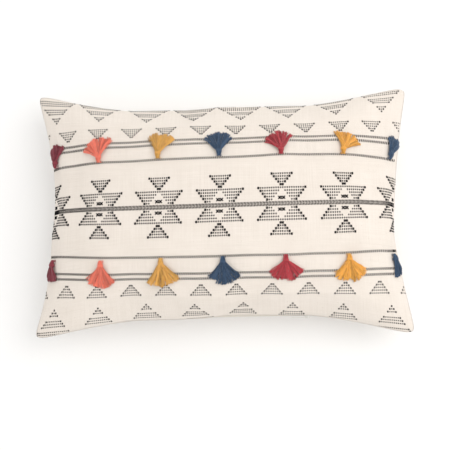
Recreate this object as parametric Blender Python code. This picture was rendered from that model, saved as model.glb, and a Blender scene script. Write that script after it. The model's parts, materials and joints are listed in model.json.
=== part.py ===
"""Lumbar throw pillow on its back: a zipped cotton cover with fourteen yarn tassels over a filled insert.

Metres, +Z up. The origin is on the surface that the pillow lies on, under the middle of its outline.
The zip is in the seam on the -Y side. Run with: blender --background --python part.py
"""

import math

import bmesh
import bpy
from mathutils import Matrix, Vector
from mathutils.bvhtree import BVHTree

# Outline of the stuffed cover, seen from above
CORNER_LENGTH = 0.602  # along X, corner to corner
CORNER_WIDTH = 0.397  # along Y, corner to corner
WAIST_LENGTH = 0.556  # along X, where the short edges pull in most
WAIST_WIDTH = 0.342  # along Y, between the straight middles of the long edges
STRAIGHT_SHARE = 0.50  # share of a long edge that stays straight
LONG_EDGE_POWER = 1.3  # how the rest of it flares out to the corner
SHORT_EDGE_POWER = 2.0
CORNER_PULL = 0.004  # how far each corner is rounded in
CORNER_POWER = 16

# Height of the stuffed cover
SEAM_HEIGHT = 0.070  # the seam above the surface
FRONT_CROWN = 0.082  # the front face above the seam
BACK_DEPTH = 0.076  # the back face below the seam, if nothing flattened it
LENGTH_FALL = 3.2
LENGTH_ROUND = 0.75
WIDTH_FALL = 4.0
WIDTH_ROUND = 0.80

# Cloth layers, from the outside in
COVER_CLOTH = 0.0009
SEAM_GAP = 0.00015  # each panel's distance from the seam's middle plane
SEAM_ALLOWANCE = 0.011
INSERT_SMALLER = 0.014  # the insert's outline inside the cover's
INSERT_SLACK = 0.0022  # the insert's crown under the cover's
TICKING = 0.0009
FIBRE_CLEARANCE = 0.0006
LABEL_SIZE = (0.030, 0.050, 0.0005)
LABEL_PLACE = (0.090, -0.030)

# Zip
ZIP_LENGTH = 0.290
ZIP_DEPTH = 0.0045  # the chain's middle plane inside the cover's edge
ZIP_GAP = 0.0050  # half the height of the slit in the seam
ZIP_SLIT_EASE = 0.018  # length over which the slit closes
TAPE_OVERRUN = 0.020  # tape and slit past each end of the chain, where the pull lies when open
TAPE_CLOTH = 0.0005
TAPE_OFF_INSERT = 0.0010  # the turned-in tape's edge to the insert
COIL_HEIGHT = 0.0018
COIL_DEPTH = 0.0020
COIL_PART = 0.0006  # each coil's distance from the chain's middle, which the slider's post fills
ZIP_CLEARANCE = 0.0003
STOP_LENGTH = 0.0025
STOP_PROUD = 0.0004
SLIDER_LENGTH = 0.0100
PLATE = 0.0011
FLANGE = 0.0008
POST_LENGTH = 0.0026
SLIDER_AT_CLOSED = 0.0030  # the slider's leading end to the top stops
BRIDGE_WIDTH = 0.0024
BRIDGE_BAR = 0.0010
BRIDGE_SPAN = 0.0074
PULL_THICK = 0.0010
PULL_WIDTH = 0.0060
PULL_LENGTH = 0.0240
PULL_EYE = 0.0050
PULL_GRIP = 0.0045

# Tassels
TASSEL_PITCH = 0.0952
ROWS = {"top": (0.0050, 0.0771), "bottom": (0.0085, -0.0801)}  # the middle tie of each row: X and Y
ROW_SLOPE = 0.0070  # both rows climb a little from left to right, as the cloth's pattern does
# The end tassels' ties, which lie on the sides: share of the half length there, and Y
SIDE_TASSELS = {
    ("top", -3): (-0.930, 0.0770),
    ("top", 3): (0.950, 0.0765),
    ("bottom", -3): (-0.942, -0.0745),
    ("bottom", 3): (0.950, -0.0765),
}
TASSEL_LENGTH = 0.0420  # tie to the strands' ends
FAN_ANGLE = 46  # degrees each side of the middle strand
FAN_ANGLE_AT_ENDS = 26
TIE_HEIGHT = 0.0034  # the tie's bar above the cloth
TIE_YARN = 0.0008  # radius
TIE_SPAN = 0.0036  # half the tie's width
EYE_RADIUS = 0.0029
EYE_WIDTH = 0.0040
HEAD_RADIUS = 0.0040
NECK_RADIUS = 0.0030
NECK_AT = 0.0095  # the binding's middle, from the tie
BINDING_WIDTH = 0.0030
BINDING_WRAP = 0.00115
SKIRT_THICK = 0.0040  # half the thickness of the fan at its fullest
CLOTH_CLEARANCE = 0.0005
SKIRT_CLEARANCE = 0.0012
MOST_FALL = 0.012  # how far the strands' ends may drop below the cloth's plane at the tie
NORMAL_STEP = 0.004

COLOURS = ("maroon", "coral", "mustard", "navy", "red", "gold", "navy")  # both rows, left to right
RING_SIDES = 12

MATERIALS = {
    "cover_front": ((0.86, 0.80, 0.72), 0.90, 0.0),
    "cover_back": ((0.85, 0.80, 0.73), 0.90, 0.0),
    "ticking": ((0.93, 0.93, 0.91), 0.85, 0.0),
    "fibre": ((0.96, 0.96, 0.96), 0.95, 0.0),
    "label": ((0.95, 0.95, 0.93), 0.60, 0.0),
    "zip_tape": ((0.84, 0.79, 0.71), 0.85, 0.0),
    "zip_coil": ((0.80, 0.75, 0.67), 0.40, 0.0),
    "zip_metal": ((0.66, 0.64, 0.60), 0.30, 1.0),
    "maroon": ((0.28, 0.03, 0.06), 0.95, 0.0),
    "coral": ((0.82, 0.17, 0.09), 0.95, 0.0),
    "mustard": ((0.70, 0.37, 0.07), 0.95, 0.0),
    "navy": ((0.03, 0.06, 0.12), 0.95, 0.0),
    "red": ((0.50, 0.04, 0.05), 0.95, 0.0),
    "gold": ((0.82, 0.40, 0.05), 0.95, 0.0),
}


def clear_scene():
    for obj in list(bpy.data.objects):
        bpy.data.objects.remove(obj, do_unlink=True)


def material(name):
    made = bpy.data.materials.get(name)
    if made is None:
        colour, roughness, metallic = MATERIALS[name]
        made = bpy.data.materials.new(name)
        made.use_nodes = True
        shader = made.node_tree.nodes["Principled BSDF"]
        shader.inputs["Base Color"].default_value = (*colour, 1)
        shader.inputs["Roughness"].default_value = roughness
        shader.inputs["Metallic"].default_value = metallic
        made.diffuse_color = (*colour, 1)
    return made


def add_object(name, data, slot, parent=None, matrix=None):
    obj = bpy.data.objects.new(name, data)
    bpy.context.scene.collection.objects.link(obj)
    data.materials.append(material(slot))
    obj.parent = parent
    if matrix is not None:
        obj.matrix_local = matrix
    return obj


def mesh_of(name, bm, smooth=False):
    """The bmesh as a mesh with its faces pointing out."""
    bmesh.ops.recalc_face_normals(bm, faces=bm.faces)
    if bm.calc_volume(signed=True) < 0:
        bmesh.ops.reverse_faces(bm, faces=bm.faces)
    mesh = bpy.data.meshes.new(name)
    bm.to_mesh(mesh)
    bm.free()
    if smooth:
        mesh.shade_smooth()
        mesh.set_sharp_from_angle(angle=math.radians(40))
    return mesh


# The pillow's shape. u runs along X and v along Y, each from -1 to 1 between the seams.


def half_length(v):
    flare = (CORNER_LENGTH - WAIST_LENGTH) / 2
    return WAIST_LENGTH / 2 + flare * abs(v) ** SHORT_EDGE_POWER


def half_width(u):
    flare = (CORNER_WIDTH - WAIST_WIDTH) / 2
    past = max(0.0, (abs(u) - STRAIGHT_SHARE) / (1 - STRAIGHT_SHARE))
    return WAIST_WIDTH / 2 + flare * past**LONG_EDGE_POWER


def fullness(u, v):
    """Height of a face over the seam, as a share of its crown."""
    along = max(0.0, 1 - abs(u) ** LENGTH_FALL) ** LENGTH_ROUND
    across = max(0.0, 1 - abs(v) ** WIDTH_FALL) ** WIDTH_ROUND
    return along * across


def plan_point(u, v, inset):
    pull = CORNER_PULL * abs(u * v) ** CORNER_POWER
    x = u * (half_length(v) - inset) - math.copysign(pull, u)
    y = v * (half_width(u) - inset) - math.copysign(pull, v)
    return x, y


def slit_shares():
    """The u where the slit starts to close, and where it is closed. Even the allowance clears the tape."""
    half = CORNER_LENGTH / 2 - SEAM_ALLOWANCE
    reach = ZIP_LENGTH / 2 + TAPE_OVERRUN + ZIP_CLEARANCE
    return reach / half, (reach + ZIP_SLIT_EASE) / half


def slit_gap(u, v):
    """A cover panel's distance from the seam's middle plane: wide along the zip, closed elsewhere."""
    if v > -1:
        return SEAM_GAP
    opened, closed = slit_shares()
    share = min(1.0, max(0.0, (abs(u) - opened) / (closed - opened)))
    return ZIP_GAP + (SEAM_GAP - ZIP_GAP) * share


def skin_point(u, v, side, inset, drop, gap):
    """A point of a layer: side is 1 for the front and -1 for the back, which is flat where it rests."""
    x, y = plan_point(u, v, inset)
    if side > 0:
        return Vector((x, y, SEAM_HEIGHT + max(gap, (FRONT_CROWN - drop) * fullness(u, v))))
    lift = max(gap, (BACK_DEPTH - drop) * fullness(u, v))
    return Vector((x, y, max(drop, SEAM_HEIGHT - lift)))


def grid_stations():
    """Where the grid lines cross u and v: close together where the faces curve down to the seam."""
    half_u = sorted({0.18, 0.36, 0.50, *slit_shares(), 0.71, 0.80, 0.88, 0.94, 0.975, 1.0})
    half_v = [0.16, 0.34, 0.52, 0.66, 0.78, 0.87, 0.93, 0.97, 1.0]
    return [[-s for s in reversed(half)] + [0.0] + half for half in (half_u, half_v)]


US, VS = grid_stations()


def border(make):
    """The points that make(u, v) gives round the outline, anticlockwise seen from above."""
    low, high = (VS[0], VS[-1])
    ring = [(u, low) for u in US[:-1]] + [(US[-1], v) for v in VS[:-1]]
    ring += [(u, high) for u in reversed(US[1:])] + [(US[0], v) for v in reversed(VS[1:])]
    return [make(u, v) for u, v in ring]


def add_skin(bm, make):
    """A grid of faces over the whole outline. Returns its border's vertices, in the order of border()."""
    verts = {(u, v): bm.verts.new(make(u, v)) for u in US for v in VS}
    for u, next_u in zip(US, US[1:]):
        for v, next_v in zip(VS, VS[1:]):
            bm.faces.new([verts[u, v], verts[next_u, v], verts[next_u, next_v], verts[u, next_v]])
    return border(lambda u, v: verts[u, v])


def add_band(bm, ring, next_ring):
    """Faces between two closed rings of the same number of vertices."""
    count = len(ring)
    for i in range(count):
        j = (i + 1) % count
        bm.faces.new([ring[i], ring[j], next_ring[j], next_ring[i]])


def cover_panel(side):
    """One face of the cover with its seam allowance turned in all round."""
    bm = bmesh.new()
    outer = add_skin(bm, lambda u, v: skin_point(u, v, side, 0, 0, slit_gap(u, v)))

    def allowance(inset, cloth):
        def point(u, v):
            x, y = plan_point(u, v, inset)
            return bm.verts.new((x, y, SEAM_HEIGHT + side * (slit_gap(u, v) + cloth)))

        return border(point)

    under = allowance(SEAM_ALLOWANCE, 0)
    over = allowance(SEAM_ALLOWANCE, COVER_CLOTH)
    inner = add_skin(
        bm,
        lambda u, v: skin_point(u, v, side, COVER_CLOTH, COVER_CLOTH, slit_gap(u, v) + COVER_CLOTH),
    )
    add_band(bm, outer, under)
    add_band(bm, under, over)
    add_band(bm, over, inner)
    return bm


def insert_panel(side):
    """One face of the insert's ticking."""
    bm = bmesh.new()
    inside = INSERT_SMALLER + TICKING
    outer = add_skin(bm, lambda u, v: skin_point(u, v, side, INSERT_SMALLER, INSERT_SLACK, SEAM_GAP))
    inner = add_skin(bm, lambda u, v: skin_point(u, v, side, inside, INSERT_SLACK + TICKING, SEAM_GAP))
    add_band(bm, outer, inner)
    return bm


def fibre_block():
    """The fibre that fills the insert: both faces on one border."""
    bm = bmesh.new()
    inset = INSERT_SMALLER + TICKING + FIBRE_CLEARANCE
    drop = INSERT_SLACK + TICKING + FIBRE_CLEARANCE
    add_skin(bm, lambda u, v: skin_point(u, v, 1, inset, drop, 0))
    add_skin(bm, lambda u, v: skin_point(u, v, -1, inset, drop, 0))
    bmesh.ops.remove_doubles(bm, verts=bm.verts, dist=1e-6)
    return bm


def add_block(bm, low, high):
    """A box between two corners."""
    size = [b - a for a, b in zip(low, high)]
    middle = [(a + b) / 2 for a, b in zip(low, high)]
    bmesh.ops.create_cube(bm, size=1, matrix=Matrix.Translation(middle) @ Matrix.Diagonal((*size, 1)))


def block(low, high):
    bm = bmesh.new()
    add_block(bm, low, high)
    return bm


def add_prism(bm, outline, axis, low, high):
    """A closed outline of (a, b) points pushed along X or Z. a and b are the other two axes, in order."""
    place = {"x": lambda a, b, c: (c, a, b), "z": lambda a, b, c: (a, b, c)}[axis]
    rings = [[bm.verts.new(place(a, b, end)) for a, b in outline] for end in (low, high)]
    bm.faces.new(rings[0])
    bm.faces.new(rings[1])
    add_band(bm, *rings)


def cut(obj, bm, operation="DIFFERENCE"):
    """A Boolean on obj with a helper object of this shape, which isn't a part."""
    helper = bpy.data.objects.new(obj.name + "_" + operation.lower(), mesh_of("helper", bm))
    bpy.context.scene.collection.objects.link(helper)
    helper.parent = obj
    helper.hide_render = True
    helper.display_type = "WIRE"
    modifier = obj.modifiers.new(operation.title(), "BOOLEAN")
    modifier.operation = operation
    modifier.object = helper
    modifier.solver = "EXACT"


# Zip. Its own axes: X along the chain, Y into the pillow, Z from the back panel to the front.


def tape_turn_in():
    """How far the tapes reach in from the chain. The insert comes nearest at the tapes' ends."""
    u = (ZIP_LENGTH / 2 + TAPE_OVERRUN) / half_length(1)
    insert_edge = half_width(u) - INSERT_SMALLER
    return half_width(0) - ZIP_DEPTH - insert_edge - TAPE_OFF_INSERT


def build_tape(side, zip_frame):
    """A tape that leaves its coil, then turns in under the cover's allowance."""
    turn_in = tape_turn_in()
    near = COIL_PART + COIL_HEIGHT + ZIP_CLEARANCE
    far = ZIP_GAP - ZIP_CLEARANCE
    half = TAPE_CLOTH / 2
    outline = [(-half, near), (half, near), (half, far - TAPE_CLOTH), (turn_in, far - TAPE_CLOTH)]
    outline += [(turn_in, far), (-half, far)]
    bm = bmesh.new()
    reach = ZIP_LENGTH / 2 + TAPE_OVERRUN
    add_prism(bm, [(y, side * z) for y, z in outline], "x", -reach, reach)
    name = "zip_tape_front" if side > 0 else "zip_tape_back"
    add_object(name, mesh_of(name, bm), "zip_tape", zip_frame)


def build_coil(side, zip_frame):
    """One side of the chain, between the stops, as a bar with chamfered edges."""
    reach = ZIP_LENGTH / 2 - STOP_LENGTH - ZIP_CLEARANCE
    low, high = sorted((side * COIL_PART, side * (COIL_PART + COIL_HEIGHT)))
    name = "zip_coil_front" if side > 0 else "zip_coil_back"
    bm = block((-reach, -COIL_DEPTH / 2, low), (reach, COIL_DEPTH / 2, high))
    coil = add_object(name, mesh_of(name, bm), "zip_coil", zip_frame)
    bevel = coil.modifiers.new("Bevel", "BEVEL")
    bevel.width = COIL_HEIGHT / 5
    bevel.segments = 1


def build_stops(zip_frame):
    end = ZIP_LENGTH / 2
    deep = COIL_DEPTH / 2 + STOP_PROUD
    top = COIL_PART + COIL_HEIGHT
    for side, name in ((1, "zip_top_stop_front"), (-1, "zip_top_stop_back")):
        low, high = sorted((side * COIL_PART, side * top))
        bm = block((end - STOP_LENGTH, -deep, low), (end, deep, high))
        add_object(name, mesh_of(name, bm), "zip_metal", zip_frame)
    bm = block((-end, -deep, -top), (STOP_LENGTH - end, deep, top))
    add_object("zip_bottom_stop", mesh_of("zip_bottom_stop", bm), "zip_metal", zip_frame)


def slider_sizes():
    """The slider's inner half height and depth, and the outer ones."""
    inner_z = COIL_PART + COIL_HEIGHT + ZIP_CLEARANCE
    inner_y = COIL_DEPTH / 2 + ZIP_CLEARANCE
    return inner_y, inner_z, inner_y + PLATE, inner_z + FLANGE


def pull_axis_depth():
    return slider_sizes()[2] + ZIP_CLEARANCE + PULL_THICK / 2


def build_slider(zip_frame):
    """Two plates with turned-in flanges, the post between the coils, and the bridge that holds the pull."""
    inner_y, inner_z, outer_y, outer_z = slider_sizes()
    slot = TAPE_CLOTH / 2 + ZIP_CLEARANCE
    half = SLIDER_LENGTH / 2
    # Half of the section at -Y: plate and both flanges, as one channel.
    channel = [(-outer_y, -outer_z), (-slot, -outer_z), (-slot, -inner_z), (-inner_y, -inner_z)]
    channel += [(-inner_y, inner_z), (-slot, inner_z), (-slot, outer_z), (-outer_y, outer_z)]
    bm = bmesh.new()
    add_prism(bm, channel, "x", -half, half)
    mesh = mesh_of("zip_slider", bm)
    start = ZIP_LENGTH / 2 - STOP_LENGTH - SLIDER_AT_CLOSED - half
    slider = add_object("zip_slider", mesh, "zip_metal", zip_frame, Matrix.Translation((start, 0, 0)))
    bm = bmesh.new()
    add_prism(bm, [(-y, z) for y, z in reversed(channel)], "x", -half, half)
    cut(slider, bm, "UNION")
    post = COIL_PART - ZIP_CLEARANCE
    sunk = PLATE / 2  # how far the post and the bridge's feet run into the plates
    cut(slider, block((half - POST_LENGTH, -inner_y - sunk, -post), (half, inner_y + sunk, post)), "UNION")
    under = outer_y + PULL_THICK + 2 * ZIP_CLEARANCE
    span, wide = BRIDGE_SPAN / 2, BRIDGE_WIDTH / 2
    bridge = [(-span, sunk - outer_y), (-span, -under - BRIDGE_BAR), (span, -under - BRIDGE_BAR)]
    bridge += [(span, sunk - outer_y), (span - BRIDGE_BAR, sunk - outer_y), (span - BRIDGE_BAR, -under)]
    bridge += [(BRIDGE_BAR - span, -under), (BRIDGE_BAR - span, sunk - outer_y)]
    bm = bmesh.new()
    add_prism(bm, bridge, "z", -wide, wide)
    cut(slider, bm, "UNION")
    return slider


def build_pull(slider):
    """A flat tab whose eye turns on a crossbar under the slider's bridge. Its origin is on that bar."""
    frame = bpy.data.objects.new("zip_pull_axis", None)
    bpy.context.scene.collection.objects.link(frame)
    frame.parent = slider
    frame.location = (0, -pull_axis_depth(), 0)
    half, thick = PULL_WIDTH / 2, PULL_THICK / 2
    taper = PULL_WIDTH / 2 - PULL_GRIP / 2
    outline = [(thick, -half), (thick, half), (-PULL_EYE, half), (-PULL_EYE - taper, PULL_GRIP / 2)]
    outline += [(-PULL_LENGTH + taper, PULL_GRIP / 2), (-PULL_LENGTH, PULL_GRIP / 2 - taper)]
    outline += [(-PULL_LENGTH, taper - PULL_GRIP / 2), (-PULL_LENGTH + taper, -PULL_GRIP / 2)]
    outline += [(-PULL_EYE - taper, -PULL_GRIP / 2), (-PULL_EYE, -half)]
    bm = bmesh.new()
    rings = [[bm.verts.new((x, y, z)) for x, z in outline] for y in (-thick, thick)]
    bm.faces.new(rings[0])
    bm.faces.new(rings[1])
    add_band(bm, *rings)
    pull = add_object("zip_pull", mesh_of("zip_pull", bm), "zip_metal", frame)
    eye = BRIDGE_WIDTH / 2 + 2 * ZIP_CLEARANCE
    cut(pull, block((-PULL_EYE, -PULL_THICK, -eye), (-thick, PULL_THICK, eye)))


def build_zip():
    zip_frame = bpy.data.objects.new("zip_frame", None)
    bpy.context.scene.collection.objects.link(zip_frame)
    zip_frame.location = (0, ZIP_DEPTH - WAIST_WIDTH / 2, SEAM_HEIGHT)
    for side in (1, -1):
        build_tape(side, zip_frame)
        build_coil(side, zip_frame)
    build_stops(zip_frame)
    build_pull(build_slider(zip_frame))


# Tassels


def shares_of(x, y):
    """The u and v of a point of the plan."""
    u, v = 0.0, 0.0
    for _ in range(40):
        u, v = x / half_length(v), y / half_width(u)
        u, v = (min(1.0, max(-1.0, share)) for share in (u, v))
    return u, v


class Face:
    """The front panel as it was built, which the tassels lie on."""

    def __init__(self, panel):
        mesh = panel.data
        faces = [face.vertices for face in mesh.polygons]
        self.tree = BVHTree.FromPolygons([vertex.co for vertex in mesh.vertices], faces)

    def under(self, point, normal, most):
        """How far below this point, along the normal, the cloth lies, up to most."""
        start = point + normal * most
        hit = self.tree.ray_cast(start, -normal, 2 * most)[0]
        if hit is None:
            return most
        return (start - hit).length - most

    def place(self, x, y):
        """The point of the cloth at this place of the plan."""
        top = Vector((x, y, SEAM_HEIGHT + FRONT_CROWN))
        return top - Vector((0, 0, self.under(top, Vector((0, 0, 1)), FRONT_CROWN)))

    def normal(self, x, y):
        along = self.place(x + NORMAL_STEP, y) - self.place(x - NORMAL_STEP, y)
        across = self.place(x, y + NORMAL_STEP) - self.place(x, y - NORMAL_STEP)
        return along.cross(across).normalized()


def tassel_place(face, row, index):
    """The point of the cloth under a tie. index runs from -3 at the left to 3 at the right."""
    if (row, index) in SIDE_TASSELS:
        share, y = SIDE_TASSELS[row, index]
        _, v = shares_of(0, y)
        return face.place(share * half_length(v), y)
    x, y = ROWS[row]
    x += index * TASSEL_PITCH
    return face.place(x, y + ROW_SLOPE * x)


def tassel_frame(face, cloth, row):
    """An empty on the tie's bar: X along the bar, Y down the strands, Z off the cloth."""
    normal = face.normal(cloth.x, cloth.y)
    away = Vector((0, 1 if row == "top" else -1, 0))
    along = (away - normal * away.dot(normal)).normalized()
    bar = along.cross(normal)
    rotation = Matrix((bar, along, normal)).transposed().to_4x4()
    frame = bpy.data.objects.new("tassel_frame", None)
    bpy.context.scene.collection.objects.link(frame)
    frame.matrix_world = Matrix.Translation(cloth + normal * TIE_HEIGHT) @ rotation
    return frame


def strand_rings(face, matrix, fan_angle):
    """Cross-sections of the strands in the tassel's own axes, from the head to the strands' ends."""
    normal = matrix.to_3x3() @ Vector((0, 0, 1))

    def cloth_at(x, y):
        place = matrix @ Vector((x, y, -TIE_HEIGHT))
        return -TIE_HEIGHT - face.under(place, normal, MOST_FALL)

    angles = [2 * math.pi * i / RING_SIDES for i in range(RING_SIDES)]
    binding_radius = NECK_RADIUS + ZIP_CLEARANCE + BINDING_WRAP
    neck_z = cloth_at(0, NECK_AT) + CLOTH_CLEARANCE + binding_radius
    half_binding = BINDING_WIDTH / 2 + CLOTH_CLEARANCE

    def round_ring(y, radius, z):
        return [Vector((radius * math.cos(a), y, z + radius * math.sin(a))) for a in angles]

    head_y = (EYE_RADIUS + NECK_AT) / 2
    rings = [
        round_ring(EYE_RADIUS / 2, EYE_WIDTH * 0.45, neck_z * 0.1),
        round_ring(head_y - HEAD_RADIUS * 0.3, HEAD_RADIUS * 0.8, neck_z * 0.7),
        round_ring(NECK_AT - half_binding - HEAD_RADIUS * 0.2, HEAD_RADIUS, neck_z),
        round_ring(NECK_AT - half_binding, NECK_RADIUS, neck_z),
        round_ring(NECK_AT + half_binding, NECK_RADIUS, neck_z),
    ]
    reach = TASSEL_LENGTH - NECK_AT
    for share, spread, thick in ((0.16, 0.85, 0.85), (0.4, 1, 1), (0.7, 1, 0.9), (1, 1, 0.6)):
        ring = []
        for a in angles:
            turn = math.radians(fan_angle) * spread * math.cos(a)
            x = reach * share * math.sin(turn)
            y = NECK_AT + reach * share * math.cos(turn)
            half = SKIRT_THICK * thick
            lift = SKIRT_CLEARANCE + half + max(0.0, neck_z + TIE_HEIGHT - half) * (1 - share) ** 3
            ring.append(Vector((x, y, cloth_at(x, y) + lift + half * math.sin(a))))
        rings.append(ring)
    return rings, neck_z


def lofted(rings):
    bm = bmesh.new()
    made = [[bm.verts.new(point) for point in ring] for ring in rings]
    for ring, next_ring in zip(made, made[1:]):
        add_band(bm, ring, next_ring)
    bm.faces.new(made[0])
    bm.faces.new(made[-1])
    return bm


def add_rod(bm, radius, width, sides=RING_SIDES):
    """A cylinder along X about the origin."""
    turned = Matrix.Rotation(math.pi / 2, 4, "Y")
    bmesh.ops.create_cone(
        bm, cap_ends=True, segments=sides, radius1=radius, radius2=radius, depth=width, matrix=turned
    )


def build_strands(face, name, frame, slot, fan_angle):
    """The folded hank of yarn: an eye round the tie's bar, the head, the neck and the fan of strands."""
    rings, neck_z = strand_rings(face, frame.matrix_world, fan_angle)
    strands = add_object(name, mesh_of(name, lofted(rings), smooth=True), slot, frame)
    bm = bmesh.new()
    add_rod(bm, EYE_RADIUS, EYE_WIDTH)
    cut(strands, bm, "UNION")
    bm = bmesh.new()
    add_rod(bm, TIE_YARN + ZIP_CLEARANCE, 3 * HEAD_RADIUS)
    cut(strands, bm)
    return neck_z


def build_binding(name, frame, slot, neck_z):
    """The yarn wound round the neck, as one ring."""
    inner = NECK_RADIUS + ZIP_CLEARANCE
    outer = inner + BINDING_WRAP
    half = BINDING_WIDTH / 2
    section = [(inner, -half), (outer, -half * 0.6), (outer, half * 0.6), (inner, half)]
    bm = bmesh.new()
    rings = []
    for i in range(RING_SIDES):
        a = 2 * math.pi * i / RING_SIDES
        spot = [Vector((r * math.cos(a), NECK_AT + y, neck_z + r * math.sin(a))) for r, y in section]
        rings.append([bm.verts.new(point) for point in spot])
    for i, ring in enumerate(rings):
        add_band(bm, ring, rings[(i + 1) % RING_SIDES])
    add_object(name, mesh_of(name, bm, smooth=True), slot, frame)


def build_tie(name, frame, slot):
    """The stitch that holds the tassel: a bar between two legs that go down to the cloth."""
    curve = bpy.data.curves.new(name, "CURVE")
    curve.dimensions = "3D"
    curve.bevel_depth = TIE_YARN
    curve.bevel_resolution = 1
    curve.use_fill_caps = True
    foot = CLOTH_CLEARANCE - TIE_HEIGHT
    bend = TIE_YARN
    half = [(TIE_SPAN, foot), (TIE_SPAN, -bend), (TIE_SPAN - bend, 0)]
    points = [(-x, z) for x, z in half] + [(x, z) for x, z in reversed(half)]
    spline = curve.splines.new("POLY")
    spline.points.add(len(points) - 1)
    for point, (x, z) in zip(spline.points, points):
        point.co = (x, 0, z, 1)
    add_object(name, curve, slot, frame)


def build_tassels(face):
    for row in ("top", "bottom"):
        for number, slot in enumerate(COLOURS, start=1):
            index = number - 4
            name = f"{row}_tassel_{number}"
            frame = tassel_frame(face, tassel_place(face, row, index), row)
            frame.name = name + "_frame"
            bpy.context.view_layer.update()
            angle = FAN_ANGLE_AT_ENDS if abs(index) == 3 else FAN_ANGLE
            neck_z = build_strands(face, name + "_strands", frame, slot, angle)
            build_binding(name + "_binding", frame, slot, neck_z)
            build_tie(name + "_tie", frame, slot)


def build_label():
    """The insert's label, flat between the insert and the back panel."""
    length, width, thick = LABEL_SIZE
    x, y = LABEL_PLACE
    middle = (COVER_CLOTH + INSERT_SLACK) / 2
    low = (x - length / 2, y - width / 2, middle - thick / 2)
    bm = block(low, (x + length / 2, y + width / 2, middle + thick / 2))
    add_object("insert_label", mesh_of("insert_label", bm), "label")


def main():
    clear_scene()
    add_object("back_panel", mesh_of("back_panel", cover_panel(-1), smooth=True), "cover_back")
    front = add_object("front_panel", mesh_of("front_panel", cover_panel(1), smooth=True), "cover_front")
    for side, name in ((1, "insert_front"), (-1, "insert_back")):
        add_object(name, mesh_of(name, insert_panel(side), smooth=True), "ticking")
    add_object("fibre_fill", mesh_of("fibre_fill", fibre_block(), smooth=True), "fibre")
    build_label()
    build_zip()
    build_tassels(Face(front))
    bpy.context.view_layer.update()


main()
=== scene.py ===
"""The lumbar throw pillow: a stuffed cotton cover with a raised thread pattern, yarn tassels and a zip.

All lengths are metres. "Flat" places are on the cover's panel as it is cut, before it is stuffed, with the
origin at its middle. The frame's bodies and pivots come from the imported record.
"""

import json
import math
import random

import bpy
import numpy as np
from mathutils import Matrix, Vector
from mathutils.bvhtree import BVHTree


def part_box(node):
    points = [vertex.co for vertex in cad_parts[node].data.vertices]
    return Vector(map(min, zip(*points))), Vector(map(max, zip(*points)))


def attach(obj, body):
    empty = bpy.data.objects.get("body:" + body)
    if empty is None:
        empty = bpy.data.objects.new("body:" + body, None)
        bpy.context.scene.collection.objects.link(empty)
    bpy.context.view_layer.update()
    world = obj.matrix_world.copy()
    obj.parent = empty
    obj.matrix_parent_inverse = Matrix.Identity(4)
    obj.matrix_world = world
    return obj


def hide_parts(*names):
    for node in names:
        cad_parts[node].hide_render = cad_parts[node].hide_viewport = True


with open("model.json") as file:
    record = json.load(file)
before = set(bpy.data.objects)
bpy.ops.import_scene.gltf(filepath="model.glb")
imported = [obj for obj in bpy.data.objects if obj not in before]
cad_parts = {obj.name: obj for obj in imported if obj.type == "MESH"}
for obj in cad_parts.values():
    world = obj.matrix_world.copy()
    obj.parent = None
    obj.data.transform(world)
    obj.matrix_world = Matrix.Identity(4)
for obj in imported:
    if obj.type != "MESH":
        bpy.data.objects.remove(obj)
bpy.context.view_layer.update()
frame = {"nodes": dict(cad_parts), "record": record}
JOINTS = {joint["child"]: joint for joint in frame["record"]["behaviour"]["joints"]}
TASSELS = [f"{row}_tassel_{number}" for row in ("top", "bottom") for number in range(1, 8)]

# Flat cover
FLAT_LENGTH = 0.610
FLAT_WIDTH = 0.406
CELLS_X = 96
CELLS_Y = 64

# Stuffing: the cloth is blown up to the filling's volume
FILL_VOLUME = 0.0222
START_RISE = 0.030
START_UNEVEN = 0.0015
SETTLE_FRAMES = 60
PUCKER_SPREAD = 6
PUCKER_SHARE = 0.10
END_FROM = 0.78  # share of the half length from which the easing runs across, and over how much
END_SPREAD = 0.16

# Stuffed shape
WAIST_LENGTH = 0.548
WAIST_OFF = (0.0045, 0.0005)  # how far the waist sits off the corners' middle
WAIST_WIDTH = 0.338
FRONT_CROWN = 0.082
BACK_DEPTH = 0.077
STRAIGHT_SHARE = 0.46
FLARE_POWER = 1.35
CORNER_PULL = 0.008
CORNER_POWER = 22
CORNER_REACH = 0.006  # how far the square corners would stand outside the frame's
# How far each corner sits off the even outline, by the signs of its X and Y
CORNER_OFF = {
    (-1, 1): (-0.002, 0.007),
    (1, 1): (0.0, -0.002),
    (-1, -1): (-0.003, -0.001),
    (1, -1): (0.001, -0.003),
}
# The top edge stands out this far, round this share of the half length, over this spread
TOP_LIFT = (0.0032, -0.42, 0.30)
REST_SOFT = 0.003
DIMPLE_SPREAD = 0.022
CLOTH = 0.0009
FOLD = 0.0012  # the first row of the seam allowance, close to the seam
ALLOWANCE = 0.010
INSERT_SHARES = (0.953, 0.930, 0.960)  # the insert's length, width and depth, as shares of the cover's
FILLING_SHARES = (0.946, 0.922, 0.940)
TAPE_CLEARANCE = 0.0003
SEAM_GAP = 0.00015  # each panel's distance from the seam's middle plane
SLIT_EASE = 0.018  # length over which the zip's slit closes
SLIT_FROM = 0.86  # share of the half width from which the slit opens the panels

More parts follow.
